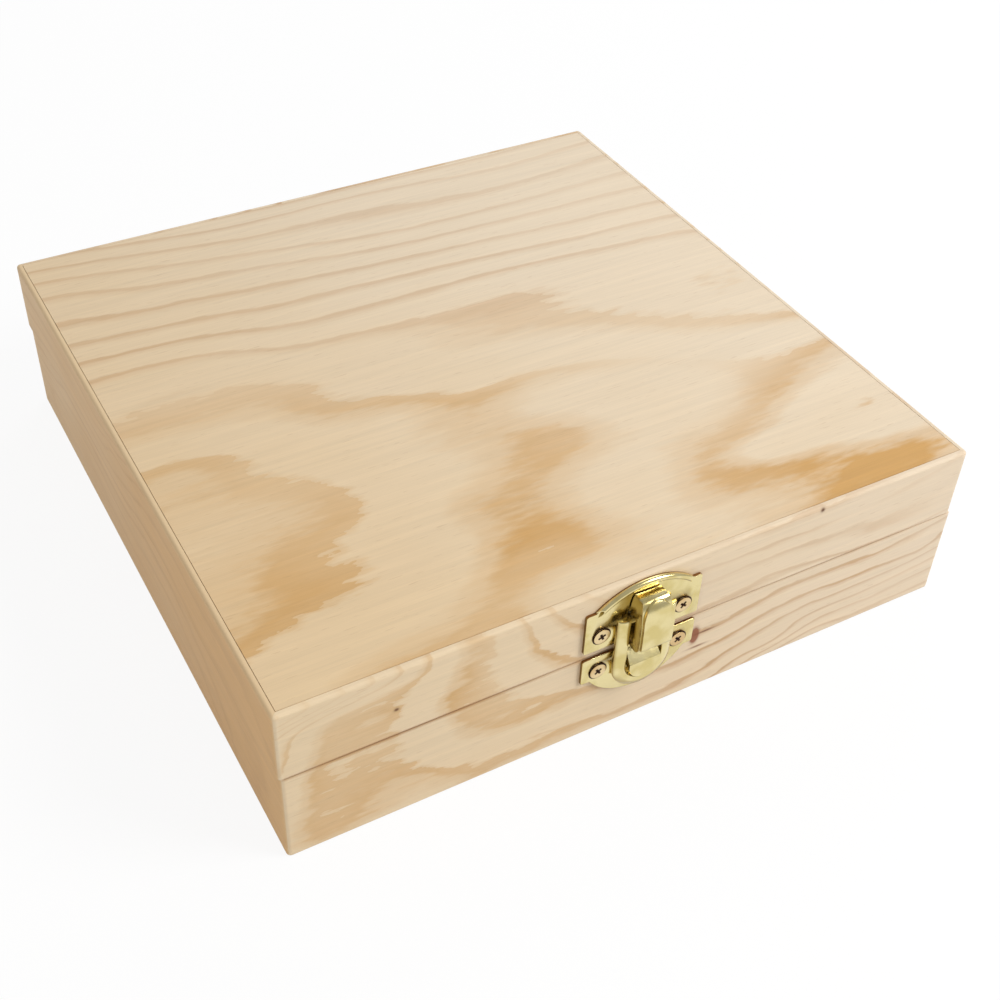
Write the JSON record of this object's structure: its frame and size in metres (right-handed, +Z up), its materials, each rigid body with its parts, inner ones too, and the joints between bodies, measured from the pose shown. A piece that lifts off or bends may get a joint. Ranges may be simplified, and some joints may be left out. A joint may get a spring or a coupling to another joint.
{
  "type": "tea box",
  "caption": "Square pine tea box with a hinged lid, crossed slats that part the tea inside and a stamped brass draw latch at the front.",
  "frame": {"origin": "on the table, under the middle of the base", "axes": "+Z up, the latch on the -Y front, the hinges on the +Y back"},
  "size_m": [0.1655, 0.1756, 0.0423],
  "materials": {
    "pine": "bare sanded pine",
    "pine_panel": "bare sanded pine, broad figure",
    "slat_pine": "bare sanded pine",
    "brass": "bright brass plating",
    "screw_brass": "brass plated, cross recess"
  },
  "bodies": {
    "base": {"base_front": "pine", "base_right": "pine", "base_back": "pine", "base_left": "pine", "base_bottom": "pine_panel", "slat_front": "slat_pine", "slat_rear": "slat_pine", "slat_left": "slat_pine", "slat_right": "slat_pine", "hinge_base_leaf_left": "brass", "hinge_pin_left": "brass", "hinge_base_leaf_right": "brass", "hinge_pin_right": "brass", "hinge_base_screws": "screw_brass", "catch_plate": "brass", "catch_screws": "screw_brass"},
    "lid": {"lid_front": "pine", "lid_right": "pine", "lid_back": "pine", "lid_left": "pine", "lid_top": "pine_panel", "hinge_lid_leaf_left": "brass", "hinge_lid_leaf_right": "brass", "hinge_lid_screws": "screw_brass", "latch_plate": "brass", "lever_pin": "brass", "latch_screws": "screw_brass"},
    "lever": {"latch_lever": "brass"},
    "bail": {"latch_bail": "brass"}
  },
  "joints": [
    {"name": "lid_hinge", "type": "hinge", "parent": "base", "child": "lid", "pos_m": [0, 0.0848, 0.0242], "axis": [-1, 0, 0], "range_deg": [0, 180]},
    {"name": "lever_pivot", "type": "hinge", "parent": "lid", "child": "lever", "pos_m": [-0.0031, -0.086, 0.0281], "axis": [1, 0, 0], "range_deg": [0, 120]},
    {"name": "bail_pivot", "type": "hinge", "parent": "lever", "child": "bail", "pos_m": [-0.0031, -0.0846, 0.0331], "axis": [1, 0, 0], "range_deg": [-120, 0]}
  ],
  "couplings": [
    {"joint": "bail_pivot", "follows": "lever_pivot", "ratio": -1}
  ]
}
